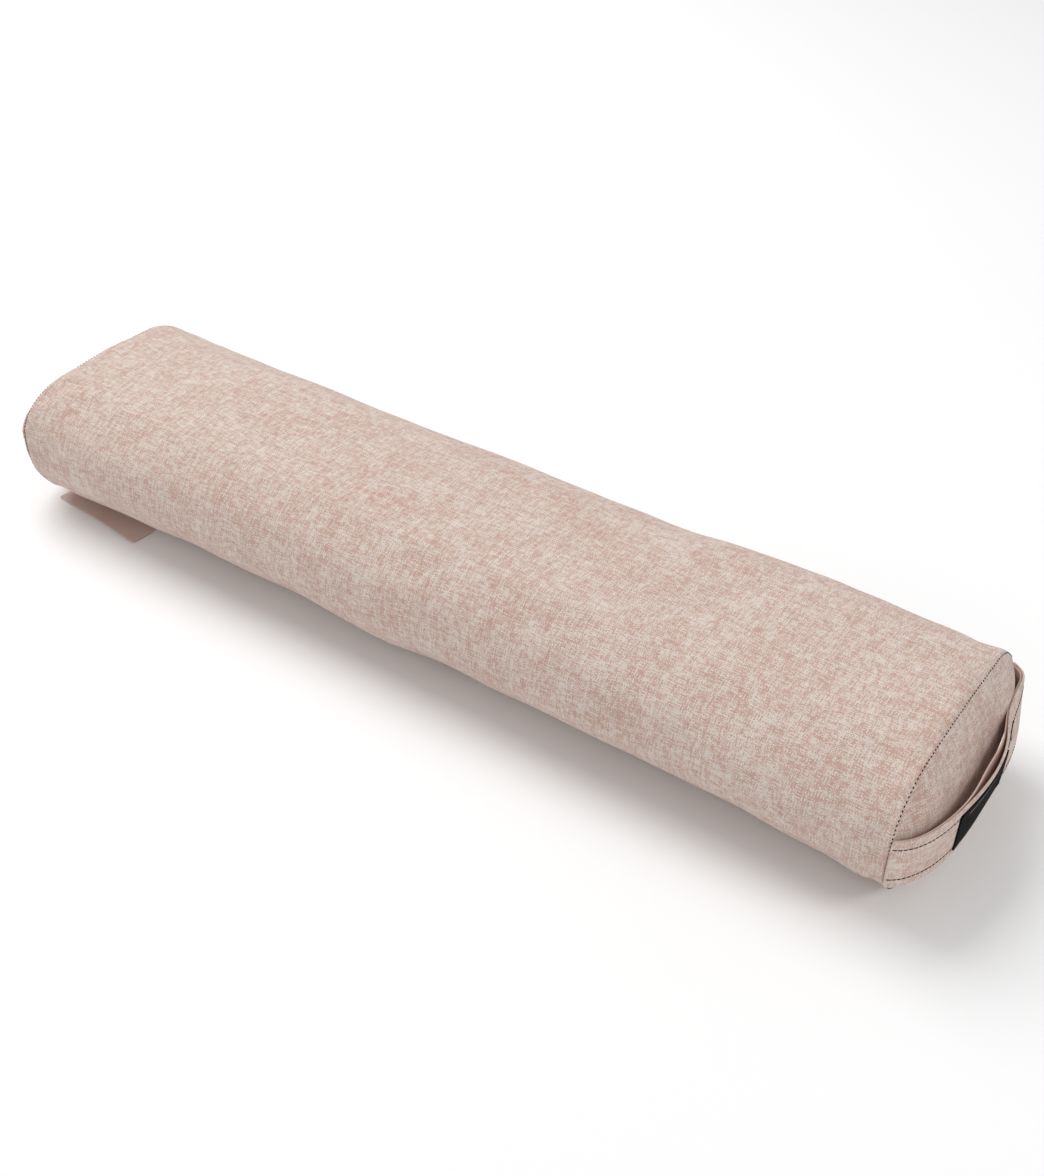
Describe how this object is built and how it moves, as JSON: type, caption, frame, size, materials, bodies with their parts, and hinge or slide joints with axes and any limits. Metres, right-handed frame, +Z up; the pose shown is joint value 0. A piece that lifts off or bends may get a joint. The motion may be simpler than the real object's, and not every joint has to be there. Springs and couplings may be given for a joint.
{
  "type": "bolster pillow",
  "caption": "Long slim bolster pillow with a flat foot, crowned top, zipped heathered cloth cover and a sewn carry handle on each end.",
  "frame": {"origin": "middle of the flat underside, half way between the two end seams", "axes": "+X along the length towards the end with the labelled handle, +Y across towards the side with the zip, +Z up from the surface it rests on"},
  "size_m": [0.7616, 0.1884, 0.107],
  "materials": {
    "cover_cloth": "matte",
    "strap_cloth": "matte",
    "strap_lining": "matte",
    "dark_thread": "matte",
    "label_weave": "matte",
    "tag_cloth": "matte",
    "zip_tape_cloth": "matte",
    "zip_coil_plastic": "satin",
    "zip_metal": "satin",
    "liner_thread": "matte",
    "liner_cloth": "matte",
    "wadding": "matte",
    "core_foam": "matte"
  },
  "bodies": {
    "root": {"cover_wrap": "cover_cloth", "far_cover_end": "cover_cloth", "far_handle_back_root": "strap_cloth", "far_handle_front_root": "strap_cloth", "far_liner_end": "liner_cloth", "far_liner_thread": "liner_thread", "far_root_threads": "dark_thread", "far_seam_thread": "dark_thread", "fill_core": "core_foam", "liner_wrap": "liner_cloth", "near_cover_end": "cover_cloth", "near_handle_back_root": "strap_cloth", "near_handle_front_root": "strap_cloth", "near_liner_end": "liner_cloth", "near_liner_thread": "liner_thread", "near_root_threads": "dark_thread", "near_seam_thread": "dark_thread", "under_tag": "tag_cloth", "wadding_wrap": "wadding", "zip_bottom_stop": "zip_metal", "zip_coil_lower": "zip_coil_plastic", "zip_coil_upper": "zip_coil_plastic", "zip_tape_lower": "zip_tape_cloth", "zip_tape_upper": "zip_tape_cloth", "zip_threads": "dark_thread", "zip_top_stops": "zip_metal"},
    "near_handle": {"near_handle_grip": "strap_cloth", "near_handle_lining": "strap_lining", "near_handle_threads": "dark_thread", "handle_label": "label_weave", "label_threads": "dark_thread"},
    "far_handle": {"far_handle_grip": "strap_cloth", "far_handle_lining": "strap_lining", "far_handle_threads": "dark_thread"},
    "slider": {"zip_slider": "zip_metal"},
    "pull": {"zip_pull": "zip_metal"}
  },
  "joints": [
    {"name": "near_handle_swing", "type": "hinge", "parent": "root", "child": "near_handle", "pos_m": [0.3575, 0, 0.0545], "axis": [0, -1, 0], "range_deg": [-20, 20]},
    {"name": "far_handle_swing", "type": "hinge", "parent": "root", "child": "far_handle", "pos_m": [-0.3575, 0, 0.0545], "axis": [0, 1, 0], "range_deg": [-20, 20]},
    {"name": "zip_run", "type": "slide", "parent": "root", "child": "slider", "axis": [-1, 0, 0], "range_m": [0, 0.54]},
    {"name": "pull_flip", "type": "hinge", "parent": "slider", "child": "pull", "pos_m": [0.27, 0.095, 0.058], "axis": [0, 0, 1], "range_deg": [0, 172]}
  ]
}
